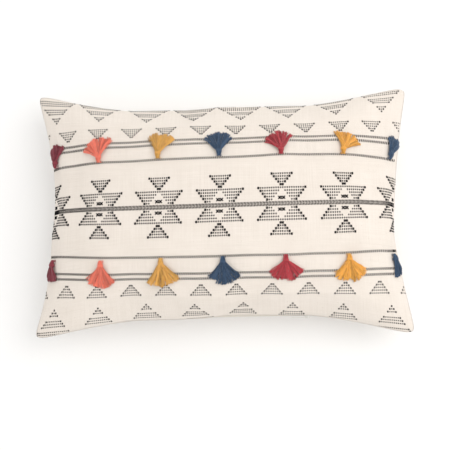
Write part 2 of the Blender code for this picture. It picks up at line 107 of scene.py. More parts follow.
# Thread pattern, in cells of the weave
CELL = 0.00355
ROW = 0.00481
PATTERN_TURN = math.radians(1.2)
MOTIF_PITCH = 28
MOTIF_ROWS = ((3, 4), (5, 3), (7, 2), (9, 1), (11, 0))  # dots each side, half the gap between them
MOTIF_FIRST = 0.0066
TRIANGLE_FIRST = 0.0307
TRIANGLE_ROWS = 5
CROSS_AT = 0.0094
CROSS = (0.0031, 0.0074, 0.0020, math.radians(47))  # place along, length, width and lean of its threads
CROSS_BAR = (0.0048, 0.0013)
SINGLE_STRIPE = 0.0811
PAIR_STRIPES = (0.1076, 0.1156)
SMALL_FIRST = 0.1264
SMALL_ROW = 0.0040
LARGE_FIRST = 0.1612
LARGE_ROW = 0.0042
LARGE_ROWS = 12
LARGE_PITCH = 22.72
SMALL_PITCH = 16.35
DOT = (0.0020, 0.00145)  # one thread's length and width
END_DOT = (0.0035, 0.0021)
DOT_PAIR = 0.44  # each of a dot's two threads lies this share of its width off the middle
FINE_DOT = (0.0019, 0.00105)
FINE_END_DOT = (0.0027, 0.0015)
SEAM_TAKES = 0.0010  # a thread whose end is nearer the seam than this isn't laid
SLANT = (0.0047, 0.0017, CELL)  # a stripe's slanted thread: height, width and pitch
SLANT_RUN = 0.50
CENTRE_SLANT = (0.0040, 0.0014, CELL * 0.66)
CENTRE_OFF = 0.0020
# How far the weave is dragged from even by the cutting and the stuffing, in millimetres, at places evenly
# spaced over the panel: from left to right, and from the bottom row to the top one
DRAG_SPAN = (0.300, 0.175)
DRAG_X = (
    (11, 1, -2, -5, -7, -9, -19),
    (10, 3, 2, -1, -5, -3, -2),
    (4, 0, 1, 0, -2, 2, 1),
    (3, 0, 4, 5, 4, 7, -5),
    (9, 4, 1, -2, -10, -16, -24),
)
DRAG_Y = (
    (3, -16, -10, -3, -18, -17, -2),
    (21, -3, -7, 1, -6, -3, 17),
    (5, 0, -1, -2, -1, 0, 8),
    (-9, 2, 0, -6, 7, 6, -9),
    (-12, 1, -1, -17, -3, 1, -1),
)

INK = (0.005, 0.005, 0.006)
YARN = {
    "maroon": (0.235, 0.028, 0.045),
    "coral": (0.82, 0.185, 0.120),
    "mustard": (0.680, 0.360, 0.080),
    "navy": (0.032, 0.070, 0.135),
    "red": (0.420, 0.035, 0.048),
    "gold": (0.800, 0.380, 0.065),
}
# For each tassel: degrees that the fan spreads to the left and right of its tie, as seen, and its length
FANS = {
    "top_tassel_1": (44, 40, 0.037),
    "top_tassel_2": (66, 34, 0.041),
    "top_tassel_3": (32, 50, 0.041),
    "top_tassel_4": (50, 46, 0.038),
    "top_tassel_5": (62, 38, 0.038),
    "top_tassel_6": (20, 76, 0.037),
    "top_tassel_7": (8, 62, 0.036),
    "bottom_tassel_1": (48, 30, 0.034),
    "bottom_tassel_2": (56, 42, 0.041),
    "bottom_tassel_3": (44, 52, 0.043),
    "bottom_tassel_4": (46, 56, 0.040),
    "bottom_tassel_5": (58, 62, 0.038),
    "bottom_tassel_6": (44, 60, 0.041),
    "bottom_tassel_7": (6, 66, 0.035),
}
CLUMPS = 15  # cords of yarn
CLUMP = 7  # strands in each
STRAND_RADIUS = 0.00070
STRAND_STEPS = 9
STRAND_CLEARANCE = 0.0004
SKIRT = 0.0056  # height of the fan's upper strands over the cloth
NECK_RADIUS = 0.0036
NECK_AT = 0.0072
NECK_CLEARANCE = 0.0010
WINDING_TURNS = 4
WINDING_STEPS = 14
WINDING_WIDTH = 0.0036
WINDING_OFF = 0.0006
WINDING_YARN = 0.00055
TIE_HEIGHT = 0.0034
TIE_SPAN = 0.0034
TIE_YARN = 0.0006
TIE_STEPS = 12
TIE_LOOPS = ((-0.0009, 0.0), (0.0009, 0.0004))  # place along the strands and extra height of each
MOST_LOOK = 0.03  # how far off the tie the cloth is looked for
MOST_FALL = 0.016  # how far the cloth may fall below the tie
# The head from the tie to the neck: half width, place along, share of the way down to the neck,
# height and half depth
HEAD = (
    (0.0012, -0.0012, 0.0, 0.0006, 0.0009),
    (0.0023, 0.0012, 0.3, 0.0012, 0.0017),
    (0.0035, 0.0036, 0.8, 0.0005, 0.0031),
    (0.0036, 0.0056, 1.0, 0.0000, 0.0033),
    (0.0034, 0.0072, 1.0, 0.0000, 0.0031),
)


# Yarn, zip and tape
PLY_PITCH = 0.0016
COIL_PITCH = 0.0014
RIB_PITCH = 0.0007
PICK_PITCH = 0.0005
METAL_NODES = ("zip_slider", "zip_pull", "zip_top_stop_front", "zip_top_stop_back", "zip_bottom_stop")
METAL = (0.72, 0.70, 0.66)
NYLON = (0.80, 0.75, 0.67)
TAPE = (0.82, 0.77, 0.69)
RIBBON = (0.93, 0.93, 0.90)

# Light shade, dark shade and weave pitch of each cloth
CLOTHS = {
    "cream_cotton": ((0.845, 0.775, 0.705), (0.735, 0.665, 0.590), 0.00085),
    "white_ticking": ((0.86, 0.86, 0.84), (0.78, 0.78, 0.76), 0.0004),
    "fibre_fill": ((0.90, 0.90, 0.90), (0.82, 0.82, 0.82), 0.0020),
}

# Light and camera
FLOOR_HALF = 12.0
SKY = 0.98
KEY_PLACE = Vector((1.2, 0.25, 1.9))
KEY_AIM = Vector((0, 0, 0.07))
KEY_SIZE = 1.6
KEY_POWER = 17
KEY_COLOUR = (1.0, 0.975, 0.95)
CAMERA_AZIMUTH = math.radians(29.41)
CAMERA_ELEVATION = math.radians(80.81)
CAMERA_DISTANCE = 1.60
CAMERA_ROLL = math.radians(0.85)
CAMERA_LENS = 79.8
CAMERA_AIM = (0.0063, -0.0201, 0.070)


# Node trees


class Wire:
    """An output socket that can be used in Python expressions."""

    def __init__(self, tree, socket):
        self.tree = tree
        self.socket = socket

    def math(self, operation, *others):
        values = {0: self, **dict(enumerate(others, 1))}
        return add_node(self.tree, "ShaderNodeMath", {"operation": operation}, values)

    def __add__(self, other):
        return self.math("ADD", other)

    __radd__ = __add__

    def __sub__(self, other):
        return self.math("SUBTRACT", other)

    def __rsub__(self, other):
        return self.math("MULTIPLY", -1) + other

    def __mul__(self, other):
        return self.math("MULTIPLY", other)

    __rmul__ = __mul__

    def __truediv__(self, other):
        return self.math("DIVIDE", other)

    def __rtruediv__(self, other):
        return self.math("POWER", -1) * other

    def __abs__(self):
        return self.math("ABSOLUTE")

    def floor(self):
        return self.math("FLOOR")

    def fract(self):
        return self.math("FRACT")

    def sin(self):
        return self.math("SINE")

    def clamped(self):
        return self.math("MAXIMUM", 0).math("MINIMUM", 1)


def add_node(tree, kind, settings=None, values=None, output=0):
    """A node of this kind with its settings and its inputs' values or wires. Returns one of its outputs."""
    made = tree.nodes.new(kind)
    for key, value in (settings or {}).items():
        setattr(made, key, value)
    for key, value in (values or {}).items():
        if isinstance(value, Wire):
            tree.links.new(value.socket, made.inputs[key])
        else:
            made.inputs[key].default_value = value
    return Wire(tree, made.outputs[output])


def new_material(name, constants):
    """A material and its tree, with one shader that has these constants on its own sockets."""
    made = bpy.data.materials.new(name)
    made.use_nodes = True
    tree = made.node_tree
    shader = tree.nodes["Principled BSDF"]
    for key, value in constants.items():
        shader.inputs[key].default_value = value
    return made, tree, shader


def feed(tree, shader, **wires):
    """Links wires to the shader's inputs: base_color feeds Base Color, and so on."""
    for key, wire in wires.items():
        tree.links.new(wire.socket, shader.inputs[key.replace("_", " ").title()])


def noise(tree, vector, scale, detail=2.0, roughness=0.5):
    values = {"Vector": vector, "Scale": scale, "Detail": detail, "Roughness": roughness}
    return add_node(tree, "ShaderNodeTexNoise", {}, values)


def scaled(tree, vector, scale):
    return add_node(tree, "ShaderNodeVectorMath", {"operation": "MULTIPLY"}, {0: vector, 1: scale})


def mixed(tree, share, low, high):
    """A colour between low and high, which are colours or wires."""
    made = tree.nodes.new("ShaderNodeMix")
    made.data_type = "RGBA"
    for index, value in ((0, share), (6, low), (7, high)):
        if isinstance(value, Wire):
            tree.links.new(value.socket, made.inputs[index])
        elif index:
            made.inputs[index].default_value = (*value, 1)
        else:
            made.inputs[index].default_value = value
    return Wire(tree, made.outputs[2])


def bump(tree, height, distance, strength):
    values = {"Height": height, "Distance": distance, "Strength": strength}
    return add_node(tree, "ShaderNodeBump", {}, values)


def ramp(wire, low, high):
    """0 below low, 1 above high and a straight line between."""
    return ((wire - low) / (high - low)).clamped()


def cotton(name, light, dark, pitch):
    """Plain-weave cloth: threads of uneven thickness one over the other, slubs, a few dark flecks, and
    painted shade in the dips between the threads.
    """
    constants = {
        "Specular IOR Level": 0.2,
        "Sheen Weight": 0.25,
        "Sheen Roughness": 0.6,
        "Sheen Tint": (1.0, 0.97, 0.93, 1),
    }
    made, tree, shader = new_material(name, constants)
    place = add_node(tree, "ShaderNodeUVMap", {"uv_map": "flat"})
    parts = tree.nodes.new("ShaderNodeSeparateXYZ")
    tree.links.new(place.socket, parts.inputs[0])
    wobble = noise(tree, place, 45.0, 3.0) - 0.5
    x = (Wire(tree, parts.outputs[0]) + wobble * (pitch * 0.9)) / pitch
    y = (Wire(tree, parts.outputs[1]) + wobble * (pitch * 0.9)) / pitch
    warp = abs((x * math.pi).sin())
    weft = abs((y * math.pi).sin())
    over = ((x.floor() + y.floor()) * 0.5).fract() * 2.0
    height = over * warp * (weft * 0.5 + 0.5) + (1.0 - over) * weft * (warp * 0.5 + 0.5)
    slub_x = noise(tree, scaled(tree, place, (14.0, 900.0, 1.0)), 1.0, 2.0)
    slub_y = noise(tree, scaled(tree, place, (900.0, 14.0, 1.0)), 1.0, 2.0)
    heather = slub_x * 0.5 + slub_y * 0.5
    patches = noise(tree, place, 22.0, 4.0, 0.6)
    flecks = ramp(noise(tree, scaled(tree, place, (1.0, 2.2, 1.0)), 420.0, 0.0), 0.80, 0.86)
    shade = ramp(heather * 0.72 + patches * 0.28, 0.34, 0.66)
    base = mixed(tree, shade, dark, light)
    # Painted shade: the low places of the weave, between the threads, are darkened towards a deeper cream
    base = mixed(tree, (1.0 - height) * 0.20, base, [c * 0.72 for c in dark])
    base = mixed(tree, flecks * 0.45, base, (0.34, 0.25, 0.17))
    relief = height * 0.75 + heather * 0.5
    feed(
        tree,
        shader,
        base_color=base,
        roughness=0.86 + patches * 0.12,
        normal=bump(tree, relief, 0.00022, 0.55),
    )
    return made


def yarn(name, colour):
    """Twisted cotton yarn: plies that wind round the strand, with lighter and darker lengths of dye, and
    painted shade in the grooves between the plies.
    """
    made, tree, shader = new_material(
        name,
        {"Specular IOR Level": 0.15, "Sheen Weight": 0.3, "Sheen Roughness": 0.5},
    )
    along = add_node(tree, "ShaderNodeAttribute", {"attribute_name": "along"}, output=2)
    around = add_node(tree, "ShaderNodeAttribute", {"attribute_name": "around"}, output=2)
    tone = add_node(tree, "ShaderNodeAttribute", {"attribute_name": "tone"}, output=2)
    place = add_node(tree, "ShaderNodeTexCoord", output=3)
    plies = abs(((along / PLY_PITCH + around * 2.0) * math.pi).sin())
    dye = noise(tree, place, 260.0, 3.0)
    # Each strand's random tone and the dye's noise, plus painted shade: darker in the grooves between the
    # plies
    shade = (tone * 0.75 + dye * 0.35 + plies * 0.25 - 0.125).clamped()
    dark = [c * 0.40 for c in colour]
    light = [min(1.0, c * 1.25 + 0.016) for c in colour]
    feed(
        tree,
        shader,
        base_color=mixed(tree, shade, dark, light),
        roughness=0.82 + dye * 0.16,
        normal=bump(tree, plies, 0.00016, 0.7),
    )
    return made


def thread_ink(name):
    """The pattern's black thread: soft plies and a faded bloom on top."""
    made, tree, shader = new_material(
        name,
        {"Specular IOR Level": 0.1, "Sheen Weight": 0.03, "Sheen Roughness": 0.5},
    )
    place = add_node(tree, "ShaderNodeTexCoord", output=3)
    fibres = noise(tree, scaled(tree, place, (300.0, 1400.0, 1400.0)), 1.0, 3.0)
    faded = noise(tree, place, 60.0, 2.0)
    feed(
        tree,
        shader,
        base_color=mixed(tree, ramp(fibres * 0.6 + faded * 0.4, 0.35, 0.75), INK, [c * 2.2 for c in INK]),
        roughness=0.80 + faded * 0.18,
        normal=bump(tree, fibres, 0.0002, 0.6),
    )
    return made


def satin_metal(name, colour):
    """Plated die-casting: fine scratches and soft handling marks."""
    made, tree, shader = new_material(name, {"Metallic": 1.0})
    place = add_node(tree, "ShaderNodeTexCoord", output=3)
    scratches = noise(tree, scaled(tree, place, (200.0, 4000.0, 4000.0)), 1.0, 2.0)
    marks = noise(tree, place, 350.0, 3.0)
    feed(
        tree,
        shader,
        base_color=mixed(tree, marks, [c * 0.8 for c in colour], colour),
        roughness=0.22 + scratches * 0.2 + marks * 0.12,
        normal=bump(tree, scratches, 0.00004, 0.3),
    )
    return made


def nylon(name, colour):
    made, tree, shader = new_material(name, {"Specular IOR Level": 0.45})
    place = add_node(tree, "ShaderNodeTexCoord", output=3)
    haze = noise(tree, place, 700.0, 3.0)
    feed(
        tree,
        shader,
        base_color=mixed(tree, haze, [c * 0.86 for c in colour], colour),
        roughness=0.34 + haze * 0.2,
        normal=bump(tree, haze, 0.00005, 0.4),
    )
    return made


def tape_weave(name, colour):
    """Fine ribbed polyester on the frame's own axes, with painted shade in the grooves between the ribs."""
    made, tree, shader = new_material(name, {"Specular IOR Level": 0.25, "Sheen Weight": 0.2})
    place = add_node(tree, "ShaderNodeTexCoord", output=3)
    parts = tree.nodes.new("ShaderNodeSeparateXYZ")
    tree.links.new(place.socket, parts.inputs[0])
    x, y, z = (Wire(tree, parts.outputs[k]) for k in range(3))
    ribs = abs(((x + y * 0.5) * (math.pi / RIB_PITCH)).sin())
    picks = abs(((y + z) * (math.pi / PICK_PITCH)).sin())
    haze = noise(tree, place, 90.0, 3.0)
    weave = ribs * 0.6 + picks * 0.4
    feed(
        tree,
        shader,
        # Painted shade: the colour is darker in the grooves between the ribs and picks and lighter on their
        # tops
        base_color=mixed(tree, weave * 0.7 + haze * 0.3, [c * 0.72 for c in colour], colour),
        roughness=0.75 + haze * 0.2,
        normal=bump(tree, weave, 0.00012, 0.6),
    )
    return made


# The cover's shape, as a grid of points for each panel


def grid_shares():
    u = np.linspace(-1, 1, CELLS_X + 1)
    v = np.linspace(-1, 1, CELLS_Y + 1)
    return np.meshgrid(u, v, indexing="ij")


def flat_panels():
    """The two panels laid on each other, a little apart, so that the filling's pressure parts them."""
    u, v = grid_shares()
    dice = np.random.default_rng(7)
    room = np.minimum(1 - abs(u), 1 - abs(v))
    rise = START_RISE * np.minimum(1, 2 * np.sqrt(room))
    rise += np.where(room > 0, dice.uniform(-START_UNEVEN, START_UNEVEN, u.shape), 0)
    front = np.stack([u * FLAT_LENGTH / 2, v * FLAT_WIDTH / 2, rise], -1)
    return front, front * (1, 1, -1)


def quad_faces(index):
    """The faces between neighbouring points of a grid of vertex numbers."""
    corners = (index[:-1, :-1], index[1:, :-1], index[1:, 1:], index[:-1, 1:])
    return np.stack(corners, -1).reshape(-1, 4)


def sewn_grids():
    """Where the border is, and both panels' grids of vertex numbers, which share the border's."""
    u, v = grid_shares()
    border = (abs(u) == 1) | (abs(v) == 1)
    front_index = np.arange(u.size).reshape(u.shape)
    back_index = front_index.copy()
    back_index[~border] = u.size + np.arange((~border).sum())
    return border, front_index, back_index


def simulated_panels():
    """Blows the sewn cover up as cloth to the filling's volume, and returns both panels' points."""
    front, back = flat_panels()
    border, front_index, back_index = sewn_grids()
    points = np.concatenate([front.reshape(-1, 3), back[~border]])
    faces = np.concatenate([quad_faces(front_index), quad_faces(back_index)[:, ::-1]])
    mesh = bpy.data.meshes.new("stuffing_trial")
    mesh.from_pydata(points.tolist(), [], faces.tolist())
    obj = bpy.data.objects.new("stuffing_trial", mesh)
    bpy.context.scene.collection.objects.link(obj)
    cloth = obj.modifiers.new("Cloth", "CLOTH")
    settings = cloth.settings
    settings.quality = 6
    settings.mass = 0.15
    settings.tension_stiffness = 15
    settings.compression_stiffness = 15
    settings.shear_stiffness = 5
    settings.bending_stiffness = 0.5
    settings.tension_damping = 5
    settings.compression_damping = 5
    settings.shear_damping = 5
    settings.bending_damping = 0.5
    settings.air_damping = 2
    settings.use_pressure = True
    settings.uniform_pressure_force = 0
    settings.use_pressure_volume = True
    settings.target_volume = FILL_VOLUME
    settings.pressure_factor = 3
    settings.effector_weights.gravity = 0
    cloth.collision_settings.use_collision = False
    for step in range(1, SETTLE_FRAMES + 1):
        bpy.context.scene.frame_set(step)
    settled = obj.evaluated_get(bpy.context.evaluated_depsgraph_get())
    found = np.empty(len(points) * 3)
    settled.data.vertices.foreach_get("co", found)
    found = found.reshape(-1, 3)
    bpy.data.objects.remove(obj, do_unlink=True)
    bpy.data.meshes.remove(mesh)
    bpy.context.scene.frame_set(1)
    return eased(found[front_index]), eased(found[back_index])


def softened(field, axis, spread):
    """The field smoothed along one axis, with its ends held where they are."""
    held = np.moveaxis(field, axis, 0)
    reach = 3 * spread
    before = 2 * held[:1] - held[reach:0:-1]
    after = 2 * held[-1:] - held[-2 : -reach - 2 : -1]
    longer = np.concatenate([before, held, after])
    weights = np.exp(-0.5 * (np.arange(-reach, reach + 1) / spread) ** 2)
    weights /= weights.sum()
    out = sum(weight * longer[k : k + len(held)] for k, weight in enumerate(weights))
    return np.moveaxis(out, 0, axis)


def eased(points):
    """The panel with most of its puckers, which run across the seams, taken out."""
    u, v = grid_shares()
    side = np.clip((abs(u) - END_FROM) / END_SPREAD, 0, 1)[..., None]
    side = side * side * (3 - 2 * side)
    smooth = softened(points, 0, PUCKER_SPREAD) * (1 - side) + softened(points, 1, PUCKER_SPREAD) * side
    return smooth + (points - smooth) * PUCKER_SHARE


def outline_target():
    """Half length over v and half width over u, of the stuffed outline."""
    low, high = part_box("front_panel")
    length = (high[0] - low[0]) / 2 + CORNER_REACH
    width = (high[1] - low[1]) / 2 + CORNER_REACH
    u, v = grid_shares()
    past = np.maximum(0, (abs(u[:, 0]) - STRAIGHT_SHARE) / (1 - STRAIGHT_SHARE))
    half_length = WAIST_LENGTH / 2 + (length - WAIST_LENGTH / 2) * abs(v[0]) ** 2
    half_width = WAIST_WIDTH / 2 + (width - WAIST_WIDTH / 2) * past**FLARE_POWER
    return half_length, half_width


def seam_height():
    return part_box("front_panel")[0][2]


def fit_to_frame(front, back):
    """Brings the stuffed panels to the frame's outline, crown and resting face."""
    u, v = grid_shares()
    half_length, half_width = outline_target()
    along = half_length / ((front[-1, :, 0] - front[0, :, 0]) / 2)
    across = half_width / ((front[:, -1, 1] - front[:, 0, 1]) / 2)
    level = front[:, 0, 2].mean()
    middle = (CELLS_X // 2, CELLS_Y // 2)
    fitted = []
    for points, rise in ((front, FRONT_CROWN), (back, -BACK_DEPTH)):
        points = points.copy()
        points[..., 0] *= along[None, :]
        points[..., 1] *= across[:, None]
        pull = CORNER_PULL * abs(u * v) ** CORNER_POWER
        points[..., 0] += WAIST_OFF[0] * (1 - v**2) - pull * np.sign(u)
        points[..., 1] += WAIST_OFF[1] * (1 - u**2) - pull * np.sign(v)
        lift, about, wide = TOP_LIFT
        points[..., 1] += lift * np.exp(-(((u - about) / wide) ** 2)) * np.clip(v, 0, 1) ** 3
        for (side_x, side_y), off in CORNER_OFF.items():
            near = np.clip(u * side_x, 0, 1) ** 3 * np.clip(v * side_y, 0, 1) ** 3
            points[..., 0] += off[0] * near
            points[..., 1] += off[1] * near
        height = (points[..., 2] - level) / (points[middle][2] - level) * rise
        points[..., 2] = seam_height() + height
        fitted.append(points)
    front, back = fitted
    low = back[..., 2]
    back[..., 2] = (low + np.sqrt(low**2 + 4 * REST_SOFT**2)) / 2 - REST_SOFT * 0.35
    return front, back


def part_for_zip(front, back):
    """Opens the seam where the zip is, as far as the zip's tapes need."""
    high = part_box("zip_tape_front")[1]
    gap = high[2] + TAPE_CLEARANCE - seam_height()
    reach = high[0]
    v = grid_shares()[1]
    for points, side in ((front, 1), (back, -1)):
        open_share = np.clip(1 - (abs(points[..., 0]) - reach) / SLIT_EASE, 0, 1)
        least = gap * open_share * (-v > SLIT_FROM) + SEAM_GAP
        rise = side * (points[..., 2] - seam_height())
        rise = np.where(v < 0, np.maximum(rise, least), np.maximum(rise, SEAM_GAP))
        points[..., 2] = seam_height() + side * rise


def tie_places():
    """The point of the cloth under each tie, in the frame."""
    places = {}
    for name in TASSELS:
        places[name] = Vector(JOINTS[name]["pos_m"]) - tassel_axes(name)[2] * TIE_HEIGHT
    return places


def tassel_axes(name):
    """The tie's bar, the strands' direction and the way off the cloth."""
    bar = Vector(JOINTS[name]["axis"]).normalized()
    away = Vector((0, 1 if name.startswith("top") else -1, 0))
    along = (away - bar * away.dot(bar)).normalized()
    return bar, along, bar.cross(along)


def meet_ties(front):
    """Draws the front in or out round each tie, so that it meets the stitch."""
    for place in tie_places().values():
        off = front[..., :2] - np.array(place[:2])
        away = np.sqrt((off**2).sum(-1))
        nearest = np.unravel_index(away.argmin(), away.shape)
        lift = place[2] - front[nearest][2]
        front[..., 2] += lift * np.exp(-((away / DIMPLE_SPREAD) ** 2))


def refined(points):
    """Twice as many cells each way, on smooth curves through the points."""
    for axis in (0, 1):
        held = np.moveaxis(points, axis, 0)
        before = np.concatenate([2 * held[:1] - held[1:2], held[:-2]])
        after = np.concatenate([held[2:], 2 * held[-1:] - held[-2:-1]])
        between = (9 * (held[:-1] + held[1:]) - before - after) / 16
        out = np.empty((2 * len(held) - 1, *held.shape[1:]))
        out[::2] = held
        out[1::2] = between
        points = np.moveaxis(out, 0, axis)
    return points


class Panel:
    """One panel's points, and where each flat place lies on it."""

    def __init__(self, points, side):
        self.points = points
        self.side = side
        along, across = np.gradient(points, axis=0), np.gradient(points, axis=1)
        normals = np.cross(along, across) * side
        self.normals = normals / np.linalg.norm(normals, axis=-1, keepdims=True)
        self.along = along / np.linalg.norm(along, axis=-1, keepdims=True)

    def blended(self, field, x, y):
        columns, rows = field.shape[0] - 1, field.shape[1] - 1
        i = np.clip((x / FLAT_LENGTH + 0.5) * columns, 0, columns - 1e-6)
        j = np.clip((y / FLAT_WIDTH + 0.5) * rows, 0, rows - 1e-6)
        a, b = i.astype(int), j.astype(int)
        s, t = (i - a)[:, None], (j - b)[:, None]
        low = field[a, b] * (1 - s) + field[a + 1, b] * s
        high = field[a, b + 1] * (1 - s) + field[a + 1, b + 1] * s
        return low * (1 - t) + high * t

    def at(self, x, y):
        """Place, way off the cloth and way along it, of each flat place."""
        place = self.blended(self.points, x, y)
        normal = self.blended(self.normals, x, y)
        along = self.blended(self.along, x, y)
        normal /= np.linalg.norm(normal, axis=1, keepdims=True)
        along -= normal * (along * normal).sum(1, keepdims=True)
        along /= np.linalg.norm(along, axis=1, keepdims=True)
        return place, normal, along


# Objects


def add_object(name, mesh, material):
    mesh.materials.clear()
    mesh.materials.append(material)
    obj = bpy.data.objects.new(name, mesh)
    bpy.context.scene.collection.objects.link(obj)
    return obj


def settled(obj):
    """The object with its modifiers made into plain geometry."""
    graph = bpy.context.evaluated_depsgraph_get()
    mesh = bpy.data.meshes.new_from_object(obj.evaluated_get(graph))
    old = obj.data
    obj.modifiers.clear()
    obj.data = mesh
    bpy.data.meshes.remove(old)
    return obj


def border_of(index):
    """The vertex numbers round a grid's edge, anticlockwise."""
    return np.concatenate([index[:-1, 0], index[-1, :-1], index[:0:-1, -1], index[0, :0:-1]])


def set_flat(mesh, flat):
    """Stores each vertex's flat place as the map that the cloth's weave follows."""
    layer = mesh.uv_layers.new(name="flat")
    corners = np.empty(len(mesh.loops), int)
    mesh.loops.foreach_get("vertex_index", corners)
    layer.data.foreach_set("uv", (flat[corners] + 1.0).astype(np.float32).ravel())


def build_panel(name, panel, material):
    """The panel as cloth of real thickness with its seam allowance turned in."""
    points = panel.points
    index = np.arange(points[..., 0].size).reshape(points.shape[:2])
    flat_x = np.linspace(-FLAT_LENGTH / 2, FLAT_LENGTH / 2, points.shape[0])
    flat_y = np.linspace(-FLAT_WIDTH / 2, FLAT_WIDTH / 2, points.shape[1])
    flat = np.stack(np.meshgrid(flat_x, flat_y, indexing="ij"), -1).reshape(-1, 2)
    verts, faces = [points.reshape(-1, 3)], [quad_faces(index)]
    ring = border_of(index)
    edge, edge_flat = verts[0][ring], flat[ring]
    half = abs(edge[:, :2]).max(0)
    flats = [flat]
    start = len(verts[0])
    previous = ring
    for inset in (FOLD, ALLOWANCE * 0.5, ALLOWANCE):
        inner = edge.copy()
        inner[:, :2] *= 1 - inset / half
        verts.append(inner)
        flats.append(edge_flat * (1 + inset / np.array([FLAT_LENGTH, FLAT_WIDTH]) * 2))
        number = start + np.arange(len(ring))
        faces.append(np.stack([previous, number, np.roll(number, -1), np.roll(previous, -1)], -1))
        start += len(ring)
        previous = number
    faces = np.concatenate(faces)
    if panel.side < 0:
        faces = faces[:, ::-1]
    mesh = bpy.data.meshes.new(name)
    mesh.from_pydata(np.concatenate(verts).tolist(), [], faces.tolist())
    set_flat(mesh, np.concatenate(flats))
    mesh.shade_smooth()
    obj = add_object(name, mesh, material)
    thick = obj.modifiers.new("Thickness", "SOLIDIFY")
    thick.thickness = CLOTH
    thick.offset = -1
    return settled(obj)


def build_inner(name, front, back, share, material):
    """A closed bag inside the cover: its shape drawn in by a share along each axis."""
    border, front_index, back_index = sewn_grids()
    seam = (front + back) / 2
    points = np.concatenate([np.where(border[..., None], seam, front).reshape(-1, 3), back[~border]])
    centre = np.array((0, 0, seam_height()))
    points = centre + (points - centre) * share
    faces = np.concatenate([quad_faces(front_index), quad_faces(back_index)[:, ::-1]])
    mesh = bpy.data.meshes.new(name)
    mesh.from_pydata(points.tolist(), [], faces.tolist())
    set_flat(mesh, points[:, :2])
    mesh.shade_smooth()
    return add_object(name, mesh, material)


# Raised thread pattern


def spline_weights(place, span, count):
    """How much each of the evenly spaced places counts at these ones, smoothly."""
    step = 2 * span / (count - 1)
    off = abs((place[:, None] + span) / step - np.arange(count))
    near = 2 / 3 - off**2 + off**3 / 2
    weights = np.where(off < 1, near, np.clip(2 - off, 0, None) ** 3 / 6)
    return weights / weights.sum(1, keepdims=True)


def dragged(x, y):
    """How far the weave's even places are moved on the panel."""
    across = spline_weights(x, DRAG_SPAN[0], len(DRAG_X[0]))
    up = spline_weights(y, DRAG_SPAN[1], len(DRAG_X))
    grids = (np.array(DRAG_X), np.array(DRAG_Y))
    return np.stack([(across * (up @ grid)).sum(1) for grid in grids], -1) / 1000


class Floats:
    """Lengths of thread that lie on top of the weave: flat place, size and turn of each."""

    def __init__(self):
        self.laid = []

    def lay(self, x, y, length, width, turn=0.0):
        self.laid.append((x, y, length, width, turn + PATTERN_TURN))

    def on_panel(self):
        """The floats where the dragged weave has them, without those that the seam takes."""
        laid = np.array(self.laid)
        laid[:, :2] += dragged(laid[:, 0], laid[:, 1])
        room = np.minimum(FLAT_LENGTH / 2 - abs(laid[:, 0]), FLAT_WIDTH / 2 - abs(laid[:, 1]))
        return laid[room > laid[:, 2] / 2 + SEAM_TAKES]

    def dot(self, x, y, large=False, fine=False):
        """One dot: two threads side by side over the warp. A row's end dots are longer and fatter."""
        length, width = (FINE_END_DOT if large else FINE_DOT) if fine else (END_DOT if large else DOT)
        for side in (-DOT_PAIR, DOT_PAIR):
            self.lay(x, y + side * width, length, width)

    def row(self, x, y, count, fine=False):
        for k in range(count):
            self.dot(x + (k - (count - 1) / 2) * CELL, y, k in (0, count - 1), fine)


def lay_motif(floats, x):
    """The hourglass figure across the centre stripe."""
    for side in (1, -1):
        for row, (count, gap) in enumerate(MOTIF_ROWS):
            y = side * (MOTIF_FIRST + row * ROW)
            for k in range(count):
                for way in (1, -1):
                    floats.dot(x + way * (gap + k + 0.5) * CELL, y, k == count - 1)
        for row in range(TRIANGLE_ROWS):
            floats.row(x, side * (TRIANGLE_FIRST + row * ROW * 0.94), 2 * row + 2)
        off, length, width, lean = CROSS
        for way in (1, -1):
            for turn in (1, -1):
                floats.lay(x + way * off, side * CROSS_AT, length, width, turn * lean)
        floats.lay(x, side * CROSS_AT, *CROSS_BAR, math.radians(90))


def lay_small_triangle(floats, x, side):
    for row in range(TRIANGLE_ROWS):
        floats.row(x, side * (SMALL_FIRST + row * SMALL_ROW), 2 * row + 2, fine=True)


def lay_large_triangle(floats, x, side):
    """Bands of three rows with a space between, wider and wider up to the seam and past it."""
    for row in range(LARGE_ROWS):
        step = row + row // 3
        floats.row(x, side * (LARGE_FIRST + step * LARGE_ROW), 2 * step + 1, fine=True)


def lay_slants(floats, y, height, width, pitch, lean):
    """A line of short slanted threads, one beside the other."""
    count = round(FLAT_LENGTH / pitch)
    run = pitch * SLANT_RUN
    for k in range(count):
        turn = lean * math.atan2(height, run)
        floats.lay((k - count / 2) * pitch, y, math.hypot(height, run), width, turn)


def figure_floats():
    floats = Floats()
    for index in range(-3, 4):
        lay_motif(floats, index * MOTIF_PITCH * CELL)
    for side in (1, -1):
        for index in range(-6, 6):
            lay_small_triangle(floats, (index + 0.5) * SMALL_PITCH * CELL, side)
        for index in range(-4, 4):
            lay_large_triangle(floats, (index + 0.5) * LARGE_PITCH * CELL, side)
    return floats


def stripe_floats():
    floats = Floats()
    for side in (1, -1):
        lay_slants(floats, side * CENTRE_OFF, *CENTRE_SLANT, side)
        for y in (SINGLE_STRIPE, *PAIR_STRIPES):
            lay_slants(floats, side * y, *SLANT, side)
    return floats


def geometry_tree(name):
    """An empty tree that takes points or lines and the number of sides of what it makes on them."""
    tree = bpy.data.node_groups.new(name, "GeometryNodeTree")
    tree.interface.new_socket("Geometry", in_out="INPUT", socket_type="NodeSocketGeometry")
    tree.interface.new_socket("Sides", in_out="INPUT", socket_type="NodeSocketInt")
    tree.interface.new_socket("Geometry", in_out="OUTPUT", socket_type="NodeSocketGeometry")
    source = tree.nodes.new("NodeGroupInput")
    target = tree.nodes.new("NodeGroupOutput")
    return tree, source, target


